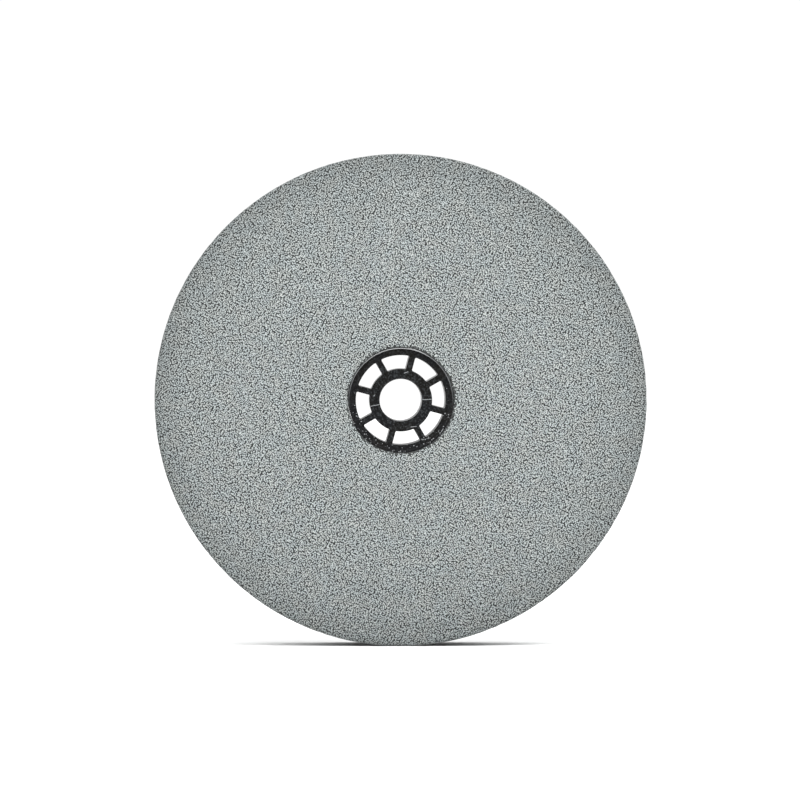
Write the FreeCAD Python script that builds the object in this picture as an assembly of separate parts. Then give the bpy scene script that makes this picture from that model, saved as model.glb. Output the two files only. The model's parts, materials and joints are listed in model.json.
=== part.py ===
import FreeCAD, Part
import math
import os

# Bench grinder wheel: a disc of bonded abrasive with a moulded, spoked reducing bush pushed
# into its bore, so that the wheel fits a thinner spindle. Each piece is one node.
#
# Lengths are in millimetres. The origin is the wheel's centre and +Y is the spindle axis:
# the front face looks along -Y, the rear face along +Y, and +Z is up.

# Driving dimensions of the abrasive wheel
WHEEL_DIAMETER = 150.0
WHEEL_THICKNESS = 20.0
WHEEL_BORE = 32.0
OUTER_ARRIS_RADIUS = 0.8
BORE_EDGE_BREAK = 0.6

# Driving dimensions of the reducing bush
SPINDLE_DIAMETER = 12.7
SPINDLE_CLEARANCE = 0.1
BUSH_FIT_CLEARANCE = 0.05
BUSH_RECESS = 0.3
HUB_WALL = 3.1
RIM_WALL = 2.25
SPOKE_COUNT = 8
SPOKE_WIDTH = 1.9
FIRST_SPOKE_ANGLE = 30.0
WINDOW_CORNER_RADIUS = 0.4
RIM_CHAMFER = 0.3
SPINDLE_LEAD_IN = 0.3

# Sizes that follow from them
WHEEL_RADIUS = WHEEL_DIAMETER / 2
BORE_RADIUS = WHEEL_BORE / 2
BUSH_LENGTH = WHEEL_THICKNESS - 2 * BUSH_RECESS
BUSH_RADIUS = BORE_RADIUS - BUSH_FIT_CLEARANCE
RIM_INNER_RADIUS = BUSH_RADIUS - RIM_WALL
SPINDLE_HOLE_RADIUS = SPINDLE_DIAMETER / 2 + SPINDLE_CLEARANCE
HUB_RADIUS = SPINDLE_HOLE_RADIUS + HUB_WALL

SPINDLE_AXIS = FreeCAD.Vector(0, 1, 0)


def ring(outer_radius, inner_radius, length):
    """A plain ring about the spindle axis, centred on the wheel's mid-plane."""
    end = FreeCAD.Vector(0, -length / 2, 0)
    outside = Part.makeCylinder(outer_radius, length, end, SPINDLE_AXIS)
    inside = Part.makeCylinder(inner_radius, length, end, SPINDLE_AXIS)
    return outside.cut(inside)


def circles_of(shape, radius):
    """The shape's circular edges of one radius: the mouths of a hole, or a disc's two rims."""
    return [
        edge
        for edge in shape.Edges
        if isinstance(edge.Curve, Part.Circle) and math.isclose(edge.Curve.Radius, radius)
    ]


def edges_along_spindle(shape):
    """The shape's straight edges that run parallel to the spindle axis."""
    return [
        edge
        for edge in shape.Edges
        if isinstance(edge.Curve, Part.Line)
        and math.isclose(abs(edge.Curve.Direction.dot(SPINDLE_AXIS)), 1.0)
    ]


def abrasive_wheel():
    """The stone: a flat disc with rounded outer arrises and a bore broken at both mouths."""
    disc = ring(WHEEL_RADIUS, BORE_RADIUS, WHEEL_THICKNESS)
    disc = disc.makeFillet(OUTER_ARRIS_RADIUS, circles_of(disc, WHEEL_RADIUS))
    return disc.makeChamfer(BORE_EDGE_BREAK, circles_of(disc, BORE_RADIUS))


def spoke_bars():
    """The spokes' bars, each reaching from inside the hub wall to inside the rim wall."""
    start = HUB_RADIUS - HUB_WALL / 2
    reach = RIM_INNER_RADIUS + RIM_WALL / 2 - start
    corner = FreeCAD.Vector(start, -BUSH_LENGTH / 2, -SPOKE_WIDTH / 2)
    bars = []
    for number in range(SPOKE_COUNT):
        bar = Part.makeBox(reach, BUSH_LENGTH, SPOKE_WIDTH, corner)
        # A right-hand turn about +Y takes +X towards -Z, so a minus turns +X towards +Z
        angle = -(FIRST_SPOKE_ANGLE + number * 360.0 / SPOKE_COUNT)
        bar.rotate(FreeCAD.Vector(), SPINDLE_AXIS, angle)
        bars.append(bar)
    return bars


def window_prisms():
    """What is open between hub, rim and each two spokes, with its four corners rounded."""
    between = ring(RIM_INNER_RADIUS, HUB_RADIUS, BUSH_LENGTH).cut(spoke_bars())
    return [
        prism.makeFillet(WINDOW_CORNER_RADIUS, edges_along_spindle(prism))
        for prism in between.Solids
    ]


def reducing_bush():
    """One moulding: rim, spokes and hub, with windows that go right through."""
    blank = ring(BUSH_RADIUS, SPINDLE_HOLE_RADIUS, BUSH_LENGTH)
    blank = blank.makeChamfer(RIM_CHAMFER, circles_of(blank, BUSH_RADIUS))
    blank = blank.makeChamfer(SPINDLE_LEAD_IN, circles_of(blank, SPINDLE_HOLE_RADIUS))
    return blank.cut(window_prisms())


def write_pieces():
    """Writes each piece to parts/ under its node's name, after testing that it is one solid."""
    os.makedirs("parts", exist_ok=True)
    pieces = {
        "abrasive_wheel": abrasive_wheel(),
        "reducing_bush": reducing_bush(),
    }
    for node, shape in pieces.items():
        if len(shape.Solids) != 1 or not shape.isValid():
            raise ValueError(f"{node} is not one valid solid")
        shape.Solids[0].exportStep(f"parts/{node}.step")
        print(f"{node}: {shape.Volume / 1000:.2f} cm3")


write_pieces()
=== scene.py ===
import itertools
import json
import math

import bpy
import numpy as np
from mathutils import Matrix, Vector


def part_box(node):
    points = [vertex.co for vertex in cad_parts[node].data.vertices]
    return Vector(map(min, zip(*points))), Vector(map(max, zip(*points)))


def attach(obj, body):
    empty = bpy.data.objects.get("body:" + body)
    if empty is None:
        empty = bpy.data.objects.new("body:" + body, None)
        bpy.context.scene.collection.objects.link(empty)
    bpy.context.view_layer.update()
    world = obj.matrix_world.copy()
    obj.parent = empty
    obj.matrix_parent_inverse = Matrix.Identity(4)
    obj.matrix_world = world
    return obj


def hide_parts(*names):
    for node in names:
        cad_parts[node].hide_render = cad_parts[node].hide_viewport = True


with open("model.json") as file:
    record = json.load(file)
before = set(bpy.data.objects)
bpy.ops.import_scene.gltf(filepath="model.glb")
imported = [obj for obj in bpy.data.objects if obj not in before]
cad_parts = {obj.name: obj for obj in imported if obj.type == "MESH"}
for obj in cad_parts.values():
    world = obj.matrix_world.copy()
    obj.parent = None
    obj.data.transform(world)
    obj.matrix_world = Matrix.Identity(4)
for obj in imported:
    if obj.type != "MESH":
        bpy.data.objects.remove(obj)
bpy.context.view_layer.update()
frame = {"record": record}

bl_info = {
    "name": "Bench grinder wheel",
    "version": (1, 0, 0),
    "blender": (4, 5, 0),
    "location": "3D View > Sidebar > Grinder wheel",
    "description": "Builds a bonded abrasive wheel with a spoked reducing bush, and a studio for it",
    "category": "Add Mesh",
}

# The spindle axis is +Y, the front face looks along -Y and +Z is up. Lengths are in metres.
MM = 0.001
WHEEL_NODE = "abrasive_wheel"
BUSH_NODE = "reducing_bush"
WHEEL_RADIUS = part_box(WHEEL_NODE)[1].x
WHEEL_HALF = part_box(WHEEL_NODE)[1].y
BUSH_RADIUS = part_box(BUSH_NODE)[1].x
BUSH_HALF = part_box(BUSH_NODE)[1].y
SPINDLE_HOLE_RADIUS = next(
    mount["dims"]["r_mm"] * MM
    for mount in frame["record"]["mounts"]
    if mount["name"] == "spindle_bore"
)

# The stone's mesh: steps round the axis and round each corner, and the spacing along its section
STONE_STEPS = 500
STONE_CORNER_STEPS = 3
STONE_SPACING = 1.0 * MM

# Lumps of the stone's worn surface: how wide they are, and the share of the relief that each
# takes away on average, which is half of the most that it takes
FINE_LUMP, FINE_SHARE = 1.3 * MM, 0.32
COARSE_LUMP, COARSE_SHARE = 3.4 * MM, 0.18

# Chips: how far they are across, how far in from an edge they reach, and the noise where one
# starts and where it has its full depth
CHIP_WIDTH = 1.6 * MM
ARRIS_CHIP_REACH = 1.0 * MM
MOUTH_CHIP_REACH = 0.7 * MM
CHIP_START, CHIP_FULL = 0.1, 0.8

# Steps round one window of the bush: along a side, round a corner, and along its two ends
SIDE_STEPS = 6
CORNER_STEPS = 6
HUB_ARC_STEPS = 14
RIM_ARC_STEPS = 22

# Steps across the bush's section: over a window's edge, the rim's crown and bevel, the hole's
# lip, and along a turned wall
WINDOW_EDGE_STEPS = 3
CROWN_STEPS = 4
LIP_STEPS = 5
WALL_STEPS = 6

# Where the face has a row of points, as shares of the way from a window's edge to its sector's
FACE_ROWS = (0.06, 0.3, 0.7, 0.94, 1.0)

# A spot counts as on a face where this much of its unit normal points along Y
FACE_NORMAL = 0.7

# What a noise texture gives in nearly all of its dips and nearly all of its crests
NOISE_LOW, NOISE_HIGH = 0.3, 0.7

# The stone's tone runs from 0 in a pore to 1 at its palest, on grain middles and painted glints.
# It is highest at a grain's middle and falls with the distance from there, in grain spacings.
# A grain's own paleness, a painted glint on one grain in ten and broad patches each add up to an
# amount of their own.
GRAIN_TOP = 1.07
GRAIN_FALL = 1.6
OWN_TONE = 0.12
PAINTED_GLINT_TONE = 0.3
PATCH_TONE = 0.006
PORE_STOP, GRAIN_STOP, PALE_AND_GLINT_STOP = 0.1, 0.5, 0.9

# A grain's random values run from 0 to 1. Above one it gets a painted glint, and between two
# others it turns from rough to smooth.
PAINTED_GLINT_FROM = 0.9
SMOOTH_FROM, SMOOTH_FULL = 0.85, 0.95
ROUGH_GRAIN, SMOOTH_GRAIN = 0.85, 0.4

# The grains' rows are turned so that they run along neither X nor Z
GRAIN_TURN = math.radians(26)
GRAIN_BUMP = 0.06 * MM
PATCH_SIZE, HUE_PATCH_SIZE = 4 * MM, 5 * MM

# Painted shade: bands of the faces that darken outwards, where each starts and ends, in from the outer
# edge, and the brightness that it leaves
PAINTED_EDGE_SHADE_BANDS = ((30 * MM, 9 * MM, 0.93), (12 * MM, 0.0, 0.8), (1.8 * MM, 0.3 * MM, 0.8))

# Painted shade darkens the bore's mouth, in the gap beside the bush, out to a radius that differs
# by the spread from grain to grain, about a line a little beside the axis
MOUTH_SHADE_START, MOUTH_SHADE_END = BUSH_RADIUS + 0.95 * MM, BUSH_RADIUS + 1.15 * MM
MOUTH_SHADE_SPREAD = 0.9 * MM
MOUTH_SHADE_ASIDE = 0.15 * MM
MOUTH_SHADE_LEFT = 0.15

# The plastic's mottle, and its bluer and browner patches
MOTTLE_SIZE, BROWN_PATCH_SIZE = 0.5 * MM, 7 * MM
MOTTLE_BUMP = 0.03 * MM
BUMP_STRENGTH = 0.6

# High up, the bush's outer bevels are painted pale as a painted highlight, and its edges shine
# more: from one height, and fully from another. The painted band is given by how far in from the
# wall it starts and is full.
HIGHLIGHT_LOW, HIGHLIGHT_HIGH = -4 * MM, 8 * MM
HIGHLIGHT_INNER, HIGHLIGHT_OUTER = 0.3 * MM, 0.1 * MM
FACE_SHINE = 0.15

PALE_LINE_WIDTH = 0.25 * MM
PALE_LINE_PALENESS = 0.7
GRIT_SPACING = 0.5 * MM

# Brightness of the surroundings: in front of the wheel, behind it, and what is added overhead.
# The fades are given by how far a direction points along Y, and along Z.
FRONT_GLOW, REAR_GLOW, OVERHEAD_GLOW = 0.15, 1.03, 0.9
FRONT_FADE = (-0.85, -0.1)
OVERHEAD_FADE = (0.45, 0.95)
SOFTBOX_PLACE = (0.25, -0.5, 0.9)
FLOOR_HALF = 4.0
SENSOR_WIDTH = 36.0

# Sockets of the Mix node for two colours, and for two vectors
MIX_FACTOR, MIX_A, MIX_B, MIX_RESULT = 0, 6, 7, 2
VECTOR_A, VECTOR_B, VECTOR_RESULT = 4, 5, 1


def linear(hex_colour):
    """An sRGB colour such as "#99A09E" as linear red, green and blue."""
    encoded = np.array([int(hex_colour[place : place + 2], 16) / 255 for place in (1, 3, 5)])
    low, high = encoded / 12.92, ((encoded + 0.055) / 1.055) ** 2.4
    return tuple(np.where(encoded <= 0.04045, low, high))


def length_property(name, description, default, smallest=0.0):
    """A size in metres, shown in the scene's own unit of length."""
    return bpy.props.FloatProperty(
        name=name, description=description, default=default, min=smallest, precision=6,
        subtype="DISTANCE", unit="LENGTH",
    )


def colour_property(name, description, hex_colour):
    """A colour that starts as an sRGB hex value."""
    return bpy.props.FloatVectorProperty(
        name=name, description=description, default=linear(hex_colour), min=0.0, max=1.0,
        subtype="COLOR", size=3,
    )


class StoneSettings(bpy.types.PropertyGroup):
    """Sizes and colours of the abrasive wheel."""

    bore_gap: length_property("Bore gap", "Between the bush and the stone's bore", 0.05 * MM)
    bore_break: length_property("Bore break", "Bevel round each mouth of the bore", 0.6 * MM)
    mouth_radius: length_property("Mouth radius", "Rounding along those bevels", 0.3 * MM)
    arris_radius: length_property("Arris radius", "Rounding of the two outer edges", 0.8 * MM)
    relief: length_property("Relief", "Depth of the grains' open surface", 0.05 * MM)
    chip_depth: length_property("Chip depth", "Depth where grains broke out of an edge", 0.22 * MM)
    grain: length_property("Grain size", "Spacing of the grains, here 46 grit", 0.45 * MM)
    pore_colour: colour_property("Pore", "Open pores between the grains", "#0D0F0F")
    grain_colour: colour_property("Grain", "Silicon carbide grain in its glassy bond", "#747B7B")
    # The palest colour: the middles of grains, and the painted glints
    pale_grain_and_glint_colour: colour_property("Glint", "Grain that shows a bright facet", "#C8CDCC")


class BushSettings(bpy.types.PropertyGroup):
    """Sizes and colours of the reducing bush."""

    hub_wall: length_property("Hub wall", "Wall round the spindle hole", 3.1 * MM)
    rim_wall: length_property("Rim wall", "Wall that fills the stone's bore", 2.25 * MM)
    spoke_width: length_property("Spoke width", "Width of each spoke", 1.9 * MM)
    window_corner: length_property("Window corner", "Rounding in a window's corners", 0.4 * MM)
    edge_radius: length_property("Edge radius", "Rounding along the windows' edges", 0.12 * MM)
    crown_width: length_property("Crown width", "Band of the rim's face that falls away", 0.6 * MM)
    crown_depth: length_property("Crown depth", "How far that band falls", 0.06 * MM)
    bevel_width: length_property("Bevel width", "Bevel between that band and the wall", 0.32 * MM)
    bevel_depth: length_property("Bevel depth", "How far the bevel falls", 0.18 * MM)
    lip_radius: length_property("Lip radius", "Rounding round the spindle hole", 0.3 * MM)
    spokes: bpy.props.IntProperty(
        name="Spokes", description="How many spokes join the hub to the rim", default=8, min=3
    )
    first_spoke: bpy.props.FloatProperty(
        name="First spoke", description="Angle of one spoke from +X towards +Z",
        default=math.radians(30.0), subtype="ANGLE", unit="ROTATION",
    )
    plastic_colour: colour_property("Plastic", "Carbon black plastic", "#0B0C0E")
    worn_colour: colour_property("Worn plastic", "Plastic rubbed grey by grit", "#3C3F41")
    # The scuff colour paints the pale lines and lodged grit, and also the painted highlight on the upper
    # outer bevels
    scuff_and_highlight_colour: colour_property("Scuff", "Pale scratches and lodged grit", "#A6A9AB")


class StudioSettings(bpy.types.PropertyGroup):
    """The camera's place, the floor and the lights."""

    azimuth: bpy.props.FloatProperty(
        name="Azimuth", description="Camera's angle to the right of the front",
        default=math.radians(-0.9), subtype="ANGLE", unit="ROTATION",
    )
    elevation: bpy.props.FloatProperty(
        name="Elevation", description="Camera's angle above the wheel's centre",
        default=math.radians(0.9), subtype="ANGLE", unit="ROTATION",
    )
    distance: length_property("Distance", "From the camera to the wheel's front face", 1.5)
    aim_aside: length_property("Aim aside", "Camera's aim from the axis along X", -0.25 * MM, -1.0)
    aim_above: length_property("Aim above", "Camera's aim from the axis along Z", 0.05 * MM, -1.0)
    lens: bpy.props.FloatProperty(
        name="Lens", description="Focal length", default=221.7, min=1.0, unit="CAMERA"
    )
    softbox_width: length_property("Softbox width", "Overhead light, from left to right", 2.4)
    softbox_depth: length_property("Softbox depth", "Overhead light, from front to back", 0.4)
    softbox_power: bpy.props.FloatProperty(
        name="Softbox power", description="Power of the overhead light", default=15.0, min=0.0,
        unit="POWER",
    )
    floor_colour: colour_property("Floor", "Pale studio floor", "#FAFAFA")


def value_noise(points, cell, seed):
    """A smooth random value from -1 to 1 at each point.

    A random number stands at every corner of a cubic lattice, and a point's value is the
    product-weighted mean of its cell's eight corners, with the weight 3t^2 - 2t^3 along each
    axis for a point a share t of the way across.
    """
    place = points / cell
    low = np.floor(place).astype(int)
    share = place - low
    share = share * share * (3 - 2 * share)
    low -= low.reshape(-1, 3).min(axis=0)
    lattice = np.random.default_rng(seed).uniform(-1, 1, low.reshape(-1, 3).max(axis=0) + 2)
    value = np.zeros(points.shape[:-1])
    for corner in itertools.product((0, 1), repeat=3):
        weight = np.where(corner, share, 1 - share).prod(axis=-1)
        value += weight * lattice[tuple(np.moveaxis(low + corner, -1, 0))]
    return value


def smooth_step(value, start, end):
    """0 below start, 1 above end, and 3t^2 - 2t^3 between them."""
    share = np.clip((value - start) / (end - start), 0, 1)
    return share * share * (3 - 2 * share)


def rounded_section(corners, radii, spacing, arc_steps):
    """Points and outward normals round a closed anticlockwise section with rounded corners.

    A corner of radius q where the outline turns by t is an arc that starts q tan(t / 2) short
    of the corner. The sides between the arcs are divided evenly, about one spacing apart.
    """
    corners, radii = np.array(corners), np.array(radii)
    ahead = np.roll(corners, -1, axis=0) - corners
    ahead /= np.linalg.norm(ahead, axis=1, keepdims=True)
    behind = np.roll(ahead, 1, axis=0)
    turns = np.arctan2(
        behind[:, 0] * ahead[:, 1] - behind[:, 1] * ahead[:, 0], (behind * ahead).sum(axis=1)
    )
    trims = (radii * np.tan(turns / 2))[:, None]
    starts, ends = corners - behind * trims, corners + ahead * trims
    normals = np.stack([behind[:, 1], -behind[:, 0]], axis=1)
    centres = starts - normals * radii[:, None]
    points, facings = [], []
    for number in range(len(corners)):
        angle = np.linspace(0, turns[number], arc_steps + 1)
        across, along = normals[number], behind[number]
        facing = np.cos(angle)[:, None] * across + np.sin(angle)[:, None] * along
        points.append(centres[number] + radii[number] * facing)
        facings.append(facing)
        side_end = starts[(number + 1) % len(corners)]
        pieces = max(1, round(np.linalg.norm(side_end - ends[number]) / spacing))
        share = np.arange(1, pieces)[:, None] / pieces
        points.append(ends[number] + share * (side_end - ends[number]))
        facings.append(np.repeat(facing[-1:], pieces - 1, axis=0))
    return np.concatenate(points), np.concatenate(facings)


def turned(pairs, steps, start=0.0):
    """(radius, Y) pairs carried round the Y axis: a grid of points, or of directions."""
    angle = start + np.linspace(0, 2 * np.pi, steps, endpoint=False)
    radial, axial = pairs[:, :1], pairs[:, 1:]
    level = np.broadcast_to(axial, (len(pairs), steps))
    return np.stack([radial * np.cos(angle), level, radial * np.sin(angle)], axis=-1)


def grid_faces(rows, columns, rows_close):
    """Four-cornered faces of a grid whose rows are closed loops, numbered row by row."""
    row = np.arange(rows if rows_close else rows - 1)[:, None]
    column = np.arange(columns)[None, :]
    next_row, next_column = (row + 1) % rows, (column + 1) % columns
    corners = [
        row * columns + column,
        next_row * columns + column,
        next_row * columns + next_column,
        row * columns + next_column,
    ]
    return np.stack(corners, axis=-1).reshape(-1, 4)


def make_piece(name, points, faces, body, node, material):
    """Makes one closed, smooth mesh object that stands for a CAD node and rides on its body."""
    mesh = bpy.data.meshes.new(name)
    mesh.from_pydata(points.tolist(), [], faces.tolist())
    mesh.validate()
    mesh.polygons.foreach_set("use_smooth", np.ones(len(mesh.polygons), bool))
    mesh.materials.append(material)
    piece = bpy.data.objects.new(name, mesh)
    bpy.context.scene.collection.objects.link(piece)
    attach(piece, body)
    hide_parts(node)
    return piece


def stone_points(stone):
    """The stone's surface: its section, turned about the spindle axis, and worn inwards.

    Each point goes in along its normal by a relief between nothing and the full depth, which
    is the sum of two smooth noises, one of fine lumps and one of coarse. Near an edge, by a
    share that falls as e to the minus square of the distance over the chips' reach, it also
    goes in where a third noise is high, as grains break out.
    """
    bore = BUSH_RADIUS + stone.bore_gap
    mouth = bore + stone.bore_break
    corners = [
        (WHEEL_RADIUS, -WHEEL_HALF),
        (WHEEL_RADIUS, WHEEL_HALF),
        (mouth, WHEEL_HALF),
        (bore, WHEEL_HALF - stone.bore_break),
        (bore, -WHEEL_HALF + stone.bore_break),
        (mouth, -WHEEL_HALF),
    ]
    radii = [stone.arris_radius] * 2 + [stone.mouth_radius] * 4
    section, facings = rounded_section(corners, radii, STONE_SPACING, STONE_CORNER_STEPS)
    points, normals = turned(section, STONE_STEPS), turned(facings, STONE_STEPS)

    fine = FINE_SHARE * (1 + value_noise(points, FINE_LUMP, seed=11))
    coarse = COARSE_SHARE * (1 + value_noise(points, COARSE_LUMP, seed=12))
    depth = stone.relief * (fine + coarse)

    radius, axial = np.hypot(points[..., 0], points[..., 2]), np.abs(points[..., 1])
    from_arris = np.hypot(WHEEL_RADIUS - radius, WHEEL_HALF - axial)
    from_mouth = np.hypot(radius - mouth, WHEEL_HALF - axial)
    near_arris = np.exp(-((from_arris / ARRIS_CHIP_REACH) ** 2))
    near_mouth = np.exp(-((from_mouth / MOUTH_CHIP_REACH) ** 2))
    broken = smooth_step(value_noise(points, CHIP_WIDTH, seed=13), CHIP_START, CHIP_FULL)
    depth += stone.chip_depth * (near_arris + near_mouth) * broken
    return points - normals * depth[..., None]


def window_outline(bush, grown):
    """One window's outline in its sector, grown by a little, as (outward, sideways) points.

    The sector's middle line is the first axis. The sides run parallel to the spokes' middle
    lines, the ends are arcs about the spindle, and each corner is an arc that touches a side
    and an end: its centre is one corner radius from both.
    """
    half_pitch = np.pi / bush.spokes
    hub = SPINDLE_HOLE_RADIUS + bush.hub_wall - grown
    rim = BUSH_RADIUS - bush.rim_wall + grown
    corner = bush.window_corner + grown
    aside = bush.spoke_width / 2 - grown + corner
    along_spoke = np.array([np.cos(half_pitch), np.sin(half_pitch)])
    to_window = np.array([np.sin(half_pitch), -np.cos(half_pitch)])

    def corner_arc(centre_radius, end_side):
        """A corner from the window's side round to its end, on the sector's upper half."""
        centre = np.sqrt(centre_radius**2 - aside**2) * along_spoke + aside * to_window
        to_end = end_side * centre / np.linalg.norm(centre)
        start = math.atan2(-to_window[1], -to_window[0])
        turn = math.atan2(to_end[1], to_end[0]) - start
        turn = (turn + math.pi) % (2 * math.pi) - math.pi
        angle = start + np.linspace(0, turn, CORNER_STEPS + 1)
        return centre + corner * np.stack([np.cos(angle), np.sin(angle)], axis=1)

    def end_arc(radius, edge, steps):
        """An end's arc from its upper corner down to its lower one, without those two points."""
        half = math.atan2(edge[1], edge[0])
        angle = np.linspace(half, -half, steps + 1)[1:-1]
        return radius * np.stack([np.cos(angle), np.sin(angle)], axis=1)

    hub_corner, rim_corner = corner_arc(hub + corner, -1), corner_arc(rim - corner, 1)
    share = np.linspace(0, 1, SIDE_STEPS + 1)[1:-1, None]
    side = hub_corner[0] + share * (rim_corner[0] - hub_corner[0])
    flip = np.array([1, -1])
    return np.concatenate([
        hub_corner[::-1], side, rim_corner,
        end_arc(rim, rim_corner[-1], RIM_ARC_STEPS),
        rim_corner[::-1] * flip, side[::-1] * flip, hub_corner * flip,
        end_arc(hub, hub_corner[-1], HUB_ARC_STEPS)[::-1],
    ])


def sector_outline(bush, hole, rim):
    """The edge of one window's share of the face, point for point beside the window's outline.

    It runs out along the upper spoke's middle line, back along an arc at the rim, in along the
    lower spoke's middle line and round an arc at the hole. Half of each corner's points go to
    the line and half to the arc, which are both divided evenly.
    """
    half_pitch, half_corner = np.pi / bush.spokes, CORNER_STEPS // 2

    def arc(radius, steps):
        angle = np.linspace(half_pitch, -half_pitch, steps + 2 * half_corner + 1)
        return radius * np.stack([np.cos(angle), np.sin(angle)], axis=1)

    line = np.linspace(hole, rim, SIDE_STEPS + 2 * half_corner + 1)[:, None]
    upper = line * np.array([np.cos(half_pitch), np.sin(half_pitch)])
    lower = (line * np.array([np.cos(half_pitch), -np.sin(half_pitch)]))[::-1]
    rim_arc, hole_arc = arc(rim, RIM_ARC_STEPS), arc(hole, HUB_ARC_STEPS)[::-1]
    around = np.concatenate([upper[:-1], rim_arc[:-1], lower[:-1], hole_arc[:-1]])
    return np.roll(around, half_corner, axis=0)


def at_depth(outline, depth):
    """An outline of (X, Z) points, set in the plane Y = -depth."""
    return np.column_stack([outline[:, 0], np.full(len(outline), -depth), outline[:, 1]])


def window_skin(bush, hole, rim):
    """The skin round one window, out to its sector's outline, as a grid of closed loops.

    The rows run from the middle of the window's wall forwards, over a quarter-circle edge,
    then across the face in straight steps to the outline. The rear half is the mirror image.
    """
    edge = bush.edge_radius
    half_wall = BUSH_HALF - edge
    quarter = np.linspace(0, np.pi / 2, WINDOW_EDGE_STEPS + 1)
    rows = [at_depth(window_outline(bush, 0.0), share * half_wall) for share in (0.0, 0.5)]
    rows += [
        at_depth(window_outline(bush, edge * (1 - np.cos(angle))), half_wall + edge * np.sin(angle))
        for angle in quarter
    ]
    inner, outer = rows[-1][:, [0, 2]], sector_outline(bush, hole, rim)
    rows += [at_depth(inner + share * (outer - inner), BUSH_HALF) for share in FACE_ROWS]
    front = np.array(rows)
    rear = front[::-1] * np.array([1, -1, 1])
    return np.concatenate([rear[:-1], front])


def wall_skin(bush, edge_curve, arc_steps):
    """A turned wall between the front face's edge curve and its mirror image, as a grid."""
    radius, depth = edge_curve[-1]
    straight = np.linspace(depth, -depth, WALL_STEPS + 1)[1:-1]
    wall = np.column_stack([np.full(len(straight), radius), straight])
    profile = np.concatenate([edge_curve, wall, edge_curve[::-1] * np.array([1, -1])])
    around = bush.spokes * (arc_steps + 2 * (CORNER_STEPS // 2))
    return turned(profile, around, bush.first_spoke)


def bush_points_and_faces(bush):
    """The bush's skin, as points and faces with the shared points still double.

    Each sector is one window's skin, turned into place. The rim's wall and the spindle hole's
    are turned sections. The rim's face falls away as a square of the distance, then as a
    straight bevel; the hole's edge is a quarter circle.
    """
    level_edge = BUSH_RADIUS - bush.bevel_width - bush.crown_width
    sector = window_skin(bush, SPINDLE_HOLE_RADIUS + bush.lip_radius, level_edge)
    sector_faces = grid_faces(len(sector), sector.shape[1], False)[:, ::-1]
    skins = []
    for number in range(bush.spokes):
        angle = bush.first_spoke + (number + 0.5) * 2 * np.pi / bush.spokes
        cosine, sine = np.cos(angle), np.sin(angle)
        turn = np.array([[cosine, 0, sine], [0, 1, 0], [-sine, 0, cosine]])
        skins.append((sector @ turn, sector_faces))

    share = np.linspace(0, 1, CROWN_STEPS + 1)[:, None]
    along_crown = share * np.array([bush.crown_width, 0])
    crown = np.array([level_edge, -BUSH_HALF]) + along_crown + share**2 * np.array([0, bush.crown_depth])
    bevel = crown[-1] + share[1:] * np.array([bush.bevel_width, bush.bevel_depth])
    rim_wall = wall_skin(bush, np.concatenate([crown, bevel]), RIM_ARC_STEPS)
    skins.append((rim_wall, grid_faces(len(rim_wall), rim_wall.shape[1], False)))

    angle = np.linspace(0, np.pi / 2, LIP_STEPS + 1)
    lip = np.column_stack([1 - np.sin(angle), 1 - np.cos(angle)]) * bush.lip_radius
    hole_wall = wall_skin(bush, lip + np.array([SPINDLE_HOLE_RADIUS, -BUSH_HALF]), HUB_ARC_STEPS)
    skins.append((hole_wall, grid_faces(len(hole_wall), hole_wall.shape[1], False)[:, ::-1]))

    points = [grid.reshape(-1, 3) for grid, _ in skins]
    starts = np.cumsum([0] + [len(skin) for skin in points[:-1]])
    faces = [corners + start for (_, corners), start in zip(skins, starts)]
    return np.concatenate(points), np.concatenate(faces)


def joined(points, faces, tolerance):
    """Makes points that lie within the tolerance of each other one point."""
    key = np.round(points / tolerance).astype(np.int64)
    _, first, which = np.unique(key, axis=0, return_index=True, return_inverse=True)
    return points[first], which.reshape(-1)[faces]


def add_node(tree, kind, settings, inputs):
    """Adds a node, with its settings, and with each input either linked to a socket or set."""
    node = tree.nodes.new(kind)
    for name, value in settings.items():
        setattr(node, name, value)
    for socket, value in inputs.items():
        if isinstance(value, bpy.types.NodeSocket):
            tree.links.new(value, node.inputs[socket])
        else:
            node.inputs[socket].default_value = value
    return node


def new_material(name):
    """An empty material, with its tree and its output node."""
    material = bpy.data.materials.new(name)
    material.use_nodes = True
    tree = material.node_tree
    tree.nodes.clear()
    return material, tree, tree.nodes.new("ShaderNodeOutputMaterial")


def spindle_radius(tree, place, aside=0.0):
    """Distance of each point from the spindle axis, or from a line beside it along +X."""
    moved = add_node(tree, "ShaderNodeVectorMath", {"operation": "MULTIPLY_ADD"}, {
        0: place, 1: (1, 0, 1), 2: (-aside, 0, 0),
    })
    length = add_node(tree, "ShaderNodeVectorMath", {"operation": "LENGTH"}, {0: moved.outputs[0]})
    return length.outputs["Value"]


def eased(tree, value, start, end, at_start, at_end):
    """Maps a value from start..end to at_start..at_end with an eased step, level outside it."""
    inputs = {"Value": value, "From Min": start, "From Max": end, "To Min": at_start, "To Max": at_end}
    return add_node(tree, "ShaderNodeMapRange", {"interpolation_type": "SMOOTHSTEP"}, inputs).outputs[0]


def calculated(tree, operation, *values):
    """One sum on numbers or sockets."""
    return add_node(tree, "ShaderNodeMath", {"operation": operation}, dict(enumerate(values))).outputs[0]


def mixed(tree, share, first, second, blend_type="MIX"):
    """Two colours mixed by a share from 0 to 1."""
    inputs = {MIX_FACTOR: share, MIX_A: first, MIX_B: second}
    settings = {"data_type": "RGBA", "blend_type": blend_type}
    return add_node(tree, "ShaderNodeMix", settings, inputs).outputs[MIX_RESULT]


def noise(tree, place, size, detail=2.0):
    """A smooth random value near 0.5, in lumps of about one size."""
    inputs = {"Vector": place, "Scale": 1 / size, "Detail": detail}
    return add_node(tree, "ShaderNodeTexNoise", {}, inputs).outputs["Fac"]


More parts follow.
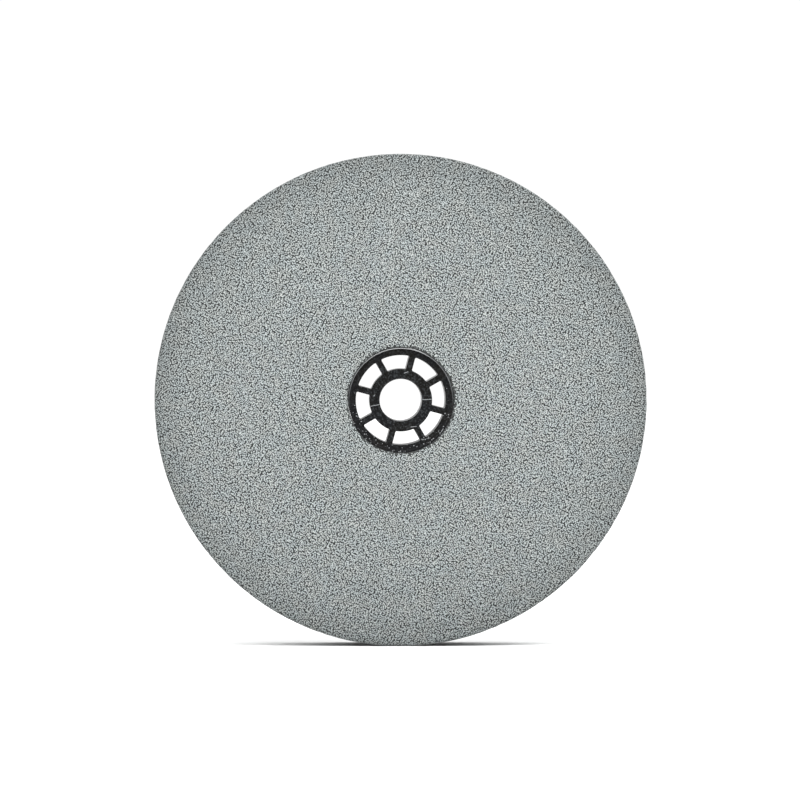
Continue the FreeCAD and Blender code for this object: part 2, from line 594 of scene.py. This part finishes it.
def surface_plane(tree, coordinates, radius):
    """Flat coordinates on a turned piece: X and Z on its faces, arc length and Y on its walls."""
    place = add_node(tree, "ShaderNodeSeparateXYZ", {}, {0: coordinates.outputs["Object"]}).outputs
    facing = add_node(tree, "ShaderNodeSeparateXYZ", {}, {0: coordinates.outputs["Normal"]}).outputs
    arc = calculated(tree, "MULTIPLY", calculated(tree, "ARCTAN2", place["Z"], place["X"]), radius)
    on_face = add_node(tree, "ShaderNodeCombineXYZ", {}, {0: place["X"], 1: place["Z"]})
    on_wall = add_node(tree, "ShaderNodeCombineXYZ", {}, {0: arc, 1: place["Y"]})
    flatness = calculated(tree, "GREATER_THAN", calculated(tree, "ABSOLUTE", facing["Y"]), FACE_NORMAL)
    plane = add_node(tree, "ShaderNodeMix", {"data_type": "VECTOR"}, {
        MIX_FACTOR: flatness, VECTOR_A: on_wall.outputs[0], VECTOR_B: on_face.outputs[0],
    })
    return plane.outputs[VECTOR_RESULT]


def grain_tone(tree, grains, chance, place):
    """How pale each spot of the stone is, from 0 in a pore to 1 at the palest, on grain middles and
    painted glints.
    """
    crest = calculated(tree, "MULTIPLY_ADD", grains["Distance"], -GRAIN_FALL, GRAIN_TOP)
    tone = calculated(tree, "MULTIPLY_ADD", chance["Red"], OWN_TONE, crest)
    painted_glint = eased(tree, chance["Green"], PAINTED_GLINT_FROM, 1.0, 0.0, PAINTED_GLINT_TONE)
    tone = calculated(tree, "ADD", tone, painted_glint)
    patches = noise(tree, place, PATCH_SIZE, detail=3.0)
    patches = eased(tree, patches, NOISE_LOW, NOISE_HIGH, -PATCH_TONE, PATCH_TONE)
    return calculated(tree, "ADD", tone, patches)


def painted_stone_shade(tree, chance, place, radius):
    """Painted shade: the brightness that the darker outer bands and the darkened mouth of the bore leave.
    """
    shade = 1.0
    for start, end, left in PAINTED_EDGE_SHADE_BANDS:
        band = eased(tree, radius, WHEEL_RADIUS - start, WHEEL_RADIUS - end, 1.0, left)
        shade = calculated(tree, "MULTIPLY", shade, band)
    # Painted shade in the bore's mouth darkens some grains and not others, fewer of them further out
    beside = spindle_radius(tree, place, aside=MOUTH_SHADE_ASIDE)
    reach = calculated(tree, "MULTIPLY_ADD", chance["Blue"], MOUTH_SHADE_SPREAD, beside)
    painted_mouth_shade = eased(tree, reach, MOUTH_SHADE_START, MOUTH_SHADE_END, MOUTH_SHADE_LEFT, 1.0)
    return calculated(tree, "MULTIPLY", shade, painted_mouth_shade)


def vitrified_silicon_carbide(stone):
    """Silicon carbide grit fired in a glassy bond and ground flat.

    The eye sees grey-green grains one by one, near-black pores between them, and here and
    there a painted glint. Painted shade makes the outer band of the faces a little darker,
    and darkens the mouth of the bore, a little off centre.
    """
    material, tree, output = new_material("vitrified_silicon_carbide")
    coordinates = add_node(tree, "ShaderNodeTexCoord", {}, {})
    place = coordinates.outputs["Object"]
    radius = spindle_radius(tree, place)

    askew = add_node(tree, "ShaderNodeVectorRotate", {"rotation_type": "Z_AXIS"}, {
        "Vector": surface_plane(tree, coordinates, radius), "Angle": GRAIN_TURN,
    })
    grains = add_node(tree, "ShaderNodeTexVoronoi", {"voronoi_dimensions": "2D"}, {
        "Vector": askew.outputs[0], "Scale": 1 / stone.grain,
    }).outputs
    chance = add_node(tree, "ShaderNodeSeparateColor", {}, {0: grains["Color"]}).outputs
    tone = grain_tone(tree, grains, chance, place)

    ramp = add_node(tree, "ShaderNodeValToRGB", {}, {"Fac": tone})
    stops = ramp.color_ramp.elements
    stops[0].position, stops[0].color = PORE_STOP, (*stone.pore_colour, 1)
    stops[1].position, stops[1].color = PALE_AND_GLINT_STOP, (*stone.pale_grain_and_glint_colour, 1)
    stops.new(GRAIN_STOP).color = (*stone.grain_colour, 1)
    warmth = eased(tree, noise(tree, place, HUE_PATCH_SIZE), 0.35, 0.65, 0.0, 1.0)
    hue = mixed(tree, warmth, (*linear("#FEFDFB"), 1), (*linear("#FAFDFE"), 1))
    colour = mixed(tree, 1.0, ramp.outputs["Color"], hue, "MULTIPLY")
    colour = mixed(tree, 1.0, colour, painted_stone_shade(tree, chance, place, radius), "MULTIPLY")

    bump = add_node(tree, "ShaderNodeBump", {}, {
        "Height": tone, "Distance": GRAIN_BUMP, "Strength": BUMP_STRENGTH,
    })
    rough = eased(tree, chance["Blue"], SMOOTH_FROM, SMOOTH_FULL, ROUGH_GRAIN, SMOOTH_GRAIN)
    shader = add_node(tree, "ShaderNodeBsdfPrincipled", {}, {
        "Base Color": colour, "Normal": bump.outputs[0], "IOR": 1.6, "Roughness": rough,
    })
    tree.links.new(shader.outputs[0], output.inputs["Surface"])
    return material


def pale_line_mask(tree, place, radius, angle, heading, length):
    """1 along a short straight line on the faces, and 0 beyond the line's width and its ends.

    The line's middle stands at a radius and an angle from +X towards +Z, and the line runs
    at the heading, which is measured the same way.
    """
    middle = (radius * math.cos(angle), 0, radius * math.sin(angle))
    moved = add_node(tree, "ShaderNodeVectorMath", {"operation": "SUBTRACT"}, {0: place, 1: middle})
    level = add_node(tree, "ShaderNodeVectorRotate", {"rotation_type": "Y_AXIS"}, {
        "Vector": moved.outputs[0], "Angle": heading,
    })
    away = add_node(tree, "ShaderNodeVectorMath", {"operation": "ABSOLUTE"}, {0: level.outputs[0]})
    away = add_node(tree, "ShaderNodeSeparateXYZ", {}, {0: away.outputs[0]}).outputs
    ends = eased(tree, away["X"], length / 2 - PALE_LINE_WIDTH, length / 2, 1.0, 0.0)
    sides = eased(tree, away["Z"], PALE_LINE_WIDTH / 4, PALE_LINE_WIDTH / 2, 1.0, 0.0)
    return calculated(tree, "MULTIPLY", ends, sides)


def pale_lines(bush):
    """Each pale line on the front face: its middle's radius and angle, its heading and length.

    Two flow lines from the mould run across the hub on opposite sides. Four short pale lines
    are drawn besides: three on the hub and one at the edge of the rim.
    """
    hub_middle = SPINDLE_HOLE_RADIUS + bush.hub_wall / 2
    flow_lines = [(hub_middle, degrees, degrees, bush.hub_wall) for degrees in (1.5, 191.5)]
    return flow_lines + [
        (hub_middle + 0.6 * MM, 79, 20, 1.6 * MM),
        (hub_middle + 1.0 * MM, 296, 5, 2.0 * MM),
        (hub_middle + 0.2 * MM, 170, 50, 0.9 * MM),
        (BUSH_RADIUS - 0.3 * MM, 324, 58, 1.5 * MM),
    ]


def lodged_grit(tree, place, height, on_rim):
    """The paleness of specks of grit: dense low on the rim, sparse above, faint on the hub."""
    grit = add_node(tree, "ShaderNodeTexVoronoi", {}, {"Vector": place, "Scale": 1 / GRIT_SPACING})
    size = add_node(tree, "ShaderNodeSeparateColor", {}, {0: grit.outputs["Color"]}).outputs["Red"]
    settled = eased(tree, height, -BUSH_RADIUS, BUSH_RADIUS, 0.45, 0.8)
    reach = eased(tree, calculated(tree, "SUBTRACT", size, settled), 0.0, 0.55, 0.0, 0.4)
    speck = calculated(tree, "LESS_THAN", grit.outputs["Distance"], reach)
    return calculated(tree, "MULTIPLY", speck, eased(tree, on_rim, 0.0, 1.0, 0.1, 0.7))


def moulded_black_plastic(bush):
    """Carbon-black plastic straight from the mould, handled and dusted with grit.

    The eye sees a near-black, half-matt skin with a fine mottle, in parts bluer and in parts
    browner. The upper part of its outer bevels is painted pale as a painted highlight and shines
    more, and its smooth window walls catch the light.
    Pale hairlines cross the hub, and pale specks of grit lie on the rim, most of them low down.
    """
    material, tree, output = new_material("moulded_black_plastic")
    coordinates = add_node(tree, "ShaderNodeTexCoord", {}, {})
    place = coordinates.outputs["Object"]
    height = add_node(tree, "ShaderNodeSeparateXYZ", {}, {0: place}).outputs["Z"]
    facing = add_node(tree, "ShaderNodeSeparateXYZ", {}, {0: coordinates.outputs["Normal"]}).outputs
    levelness = calculated(tree, "ABSOLUTE", facing["Y"])
    radius = spindle_radius(tree, place)
    rim_edge = BUSH_RADIUS - bush.rim_wall
    on_rim = eased(tree, radius, rim_edge - 1 * MM, rim_edge, 0.0, 1.0)

    mottle = noise(tree, place, MOTTLE_SIZE, detail=3.0)
    brownness = eased(tree, noise(tree, place, BROWN_PATCH_SIZE), 0.4, 0.6, 0.0, 1.0)
    plastic = mixed(tree, brownness, (*bush.plastic_colour, 1), (*linear("#0E0D0B"), 1))
    on_hub = eased(tree, on_rim, 0.0, 1.0, 1.0, 0.5)
    rubbed = calculated(tree, "MULTIPLY", eased(tree, mottle, 0.45, 0.75, 0.0, 0.8), on_hub)
    colour = mixed(tree, rubbed, plastic, (*bush.worn_colour, 1))

    # Painted highlight: the upper part of the outer bevels is painted pale; their shine is raised high up
    # further on
    upper = eased(tree, height, HIGHLIGHT_LOW, HIGHLIGHT_HIGH, 0.0, 1.0)
    corner = eased(tree, radius, BUSH_RADIUS - HIGHLIGHT_INNER, BUSH_RADIUS - HIGHLIGHT_OUTER, 0.0, 0.6)
    bevel = eased(tree, levelness, 0.3, 0.6, 0.0, 1.0)
    painted_highlight = calculated(tree, "MULTIPLY", calculated(tree, "MULTIPLY", upper, corner), bevel)
    colour = mixed(tree, painted_highlight, colour, (*bush.scuff_and_highlight_colour, 1))

    marks = lodged_grit(tree, place, height, on_rim)
    on_front = calculated(tree, "LESS_THAN", facing["Y"], -FACE_NORMAL)
    paleness = calculated(tree, "MULTIPLY", on_front, PALE_LINE_PALENESS)
    for middle, angle, heading, length in pale_lines(bush):
        line = pale_line_mask(tree, place, middle, math.radians(angle), math.radians(heading), length)
        marks = calculated(tree, "MAXIMUM", marks, calculated(tree, "MULTIPLY", line, paleness))
    colour = mixed(tree, marks, colour, (*bush.scuff_and_highlight_colour, 1))

    # The flat faces are matt, the rounded edges smoother, and the walls in between the two
    rough = eased(tree, mottle, NOISE_LOW, NOISE_HIGH, 0.26, 0.4)
    rough = calculated(tree, "MULTIPLY", rough, eased(tree, levelness, 0.85, 0.97, 0.6, 1.0))
    rough = calculated(tree, "ADD", rough, eased(tree, levelness, 0.1, 0.4, 0.12, 0.0))
    shine = eased(tree, height, HIGHLIGHT_LOW, HIGHLIGHT_HIGH, FACE_SHINE, 1.0)
    polish = eased(tree, levelness, 0.88, 0.98, shine, FACE_SHINE)
    bump = add_node(tree, "ShaderNodeBump", {}, {
        "Height": mottle, "Distance": MOTTLE_BUMP, "Strength": BUMP_STRENGTH,
    })
    shader = add_node(tree, "ShaderNodeBsdfPrincipled", {}, {
        "Base Color": colour, "Normal": bump.outputs[0], "IOR": 1.49, "Roughness": rough,
        "Specular IOR Level": polish,
    })
    tree.links.new(shader.outputs[0], output.inputs["Surface"])
    return material


class GRINDERWHEEL_OT_stone(bpy.types.Operator):
    """Build the bonded abrasive wheel"""

    bl_idname = "grinder_wheel.stone"
    bl_label = "Abrasive wheel"

    def execute(self, context):
        stone = context.scene.stone_settings
        grid = stone_points(stone)
        faces = grid_faces(grid.shape[0], grid.shape[1], True)
        make_piece("bonded_grit_wheel", grid.reshape(-1, 3), faces, "wheel", WHEEL_NODE,
                   vitrified_silicon_carbide(stone))
        return {"FINISHED"}


class GRINDERWHEEL_OT_bush(bpy.types.Operator):
    """Build the spoked reducing bush"""

    bl_idname = "grinder_wheel.bush"
    bl_label = "Reducing bush"

    def execute(self, context):
        bush = context.scene.bush_settings
        points, faces = joined(*bush_points_and_faces(bush), tolerance=0.001 * MM)
        make_piece("moulded_reducing_bush", points, faces, "bush", BUSH_NODE,
                   moulded_black_plastic(bush))
        return {"FINISHED"}


class GRINDERWHEEL_OT_studio(bpy.types.Operator):
    """Set up the floor, the surroundings, the lights and the camera"""

    bl_idname = "grinder_wheel.studio"
    bl_label = "Studio"

    def execute(self, context):
        studio = context.scene.studio_settings
        make_floor(studio)
        make_surroundings()
        make_softbox(studio)
        make_camera(studio)
        return {"FINISHED"}


def make_floor(studio):
    """A plain pale floor that the wheel stands on."""
    sides = [(-1, -1), (1, -1), (1, 1), (-1, 1)]
    corners = [(FLOOR_HALF * x, FLOOR_HALF * y, -WHEEL_RADIUS) for x, y in sides]
    mesh = bpy.data.meshes.new("studio_floor")
    mesh.from_pydata(corners, [], [(0, 1, 2, 3)])
    material, tree, output = new_material("matt_white_floor")
    colour = (*studio.floor_colour, 1)
    shader = add_node(tree, "ShaderNodeBsdfPrincipled", {}, {"Base Color": colour, "Roughness": 0.9})
    tree.links.new(shader.outputs[0], output.inputs["Surface"])
    mesh.materials.append(material)
    floor = bpy.data.objects.new("studio_floor", mesh)
    bpy.context.scene.collection.objects.link(floor)


def make_surroundings():
    """White all round, brighter overhead, and grey in front of the wheel, where it is unlit."""
    world = bpy.data.worlds.new("studio_surroundings")
    world.use_nodes = True
    tree = world.node_tree
    tree.nodes.clear()
    coordinates = add_node(tree, "ShaderNodeTexCoord", {}, {})
    direction = add_node(tree, "ShaderNodeSeparateXYZ", {}, {0: coordinates.outputs["Generated"]}).outputs
    around = eased(tree, direction["Y"], *FRONT_FADE, FRONT_GLOW, REAR_GLOW)
    overhead = eased(tree, direction["Z"], *OVERHEAD_FADE, 0.0, OVERHEAD_GLOW)
    strength = calculated(tree, "ADD", around, overhead)
    glow = add_node(tree, "ShaderNodeBackground", {}, {"Color": (1, 1, 1, 1), "Strength": strength})
    add_node(tree, "ShaderNodeOutputWorld", {}, {"Surface": glow.outputs[0]})
    bpy.context.scene.world = world


def make_softbox(studio):
    """One wide soft light overhead, a little in front of the wheel and to its right."""
    light = bpy.data.lights.new("overhead_softbox", "AREA")
    light.shape = "RECTANGLE"
    light.size = studio.softbox_width
    light.size_y = studio.softbox_depth
    light.energy = studio.softbox_power
    lamp = bpy.data.objects.new("overhead_softbox", light)
    lamp.location = SOFTBOX_PLACE
    lamp.rotation_mode = "QUATERNION"
    lamp.rotation_quaternion = (-lamp.location).to_track_quat("-Z", "Y")
    bpy.context.scene.collection.objects.link(lamp)


def make_camera(studio):
    """A long lens, almost square to the front face."""
    data = bpy.data.cameras.new("studio_camera")
    data.sensor_width = SENSOR_WIDTH
    data.lens = studio.lens
    camera = bpy.data.objects.new("studio_camera", data)
    back = Vector((
        math.sin(studio.azimuth) * math.cos(studio.elevation),
        -math.cos(studio.azimuth) * math.cos(studio.elevation),
        math.sin(studio.elevation),
    ))
    aim = Vector((studio.aim_aside, -WHEEL_HALF, studio.aim_above))
    camera.location = aim + back * studio.distance
    camera.rotation_mode = "QUATERNION"
    camera.rotation_quaternion = (-back).to_track_quat("-Z", "Y")
    bpy.context.scene.collection.objects.link(camera)
    bpy.context.scene.camera = camera
    bpy.context.scene.view_settings.view_transform = "Standard"


class GRINDERWHEEL_PT_panel(bpy.types.Panel):
    """The wheel's pieces and the studio, each with its settings"""

    bl_idname = "GRINDERWHEEL_PT_panel"
    bl_label = "Grinder wheel"
    bl_space_type = "VIEW_3D"
    bl_region_type = "UI"
    bl_category = "Grinder wheel"

    def draw(self, context):
        for operator, settings in PANEL_ROWS:
            box = self.layout.box()
            box.operator(operator.bl_idname)
            group = getattr(context.scene, settings)
            for name in type(group).__annotations__:
                box.prop(group, name)


SETTINGS = {
    "stone_settings": StoneSettings,
    "bush_settings": BushSettings,
    "studio_settings": StudioSettings,
}
OPERATORS = (GRINDERWHEEL_OT_stone, GRINDERWHEEL_OT_bush, GRINDERWHEEL_OT_studio)
PANEL_ROWS = tuple(zip(OPERATORS, SETTINGS))
CLASSES = (*SETTINGS.values(), *OPERATORS, GRINDERWHEEL_PT_panel)


def register():
    for kind in CLASSES:
        bpy.utils.register_class(kind)
    for name, kind in SETTINGS.items():
        setattr(bpy.types.Scene, name, bpy.props.PointerProperty(type=kind))


def unregister():
    for name in SETTINGS:
        delattr(bpy.types.Scene, name)
    for kind in reversed(CLASSES):
        bpy.utils.unregister_class(kind)


def main():
    """Builds the pieces and the studio."""
    register()
    bpy.ops.grinder_wheel.stone()
    bpy.ops.grinder_wheel.bush()
    bpy.ops.grinder_wheel.studio()


if __name__ == "__main__":
    main()
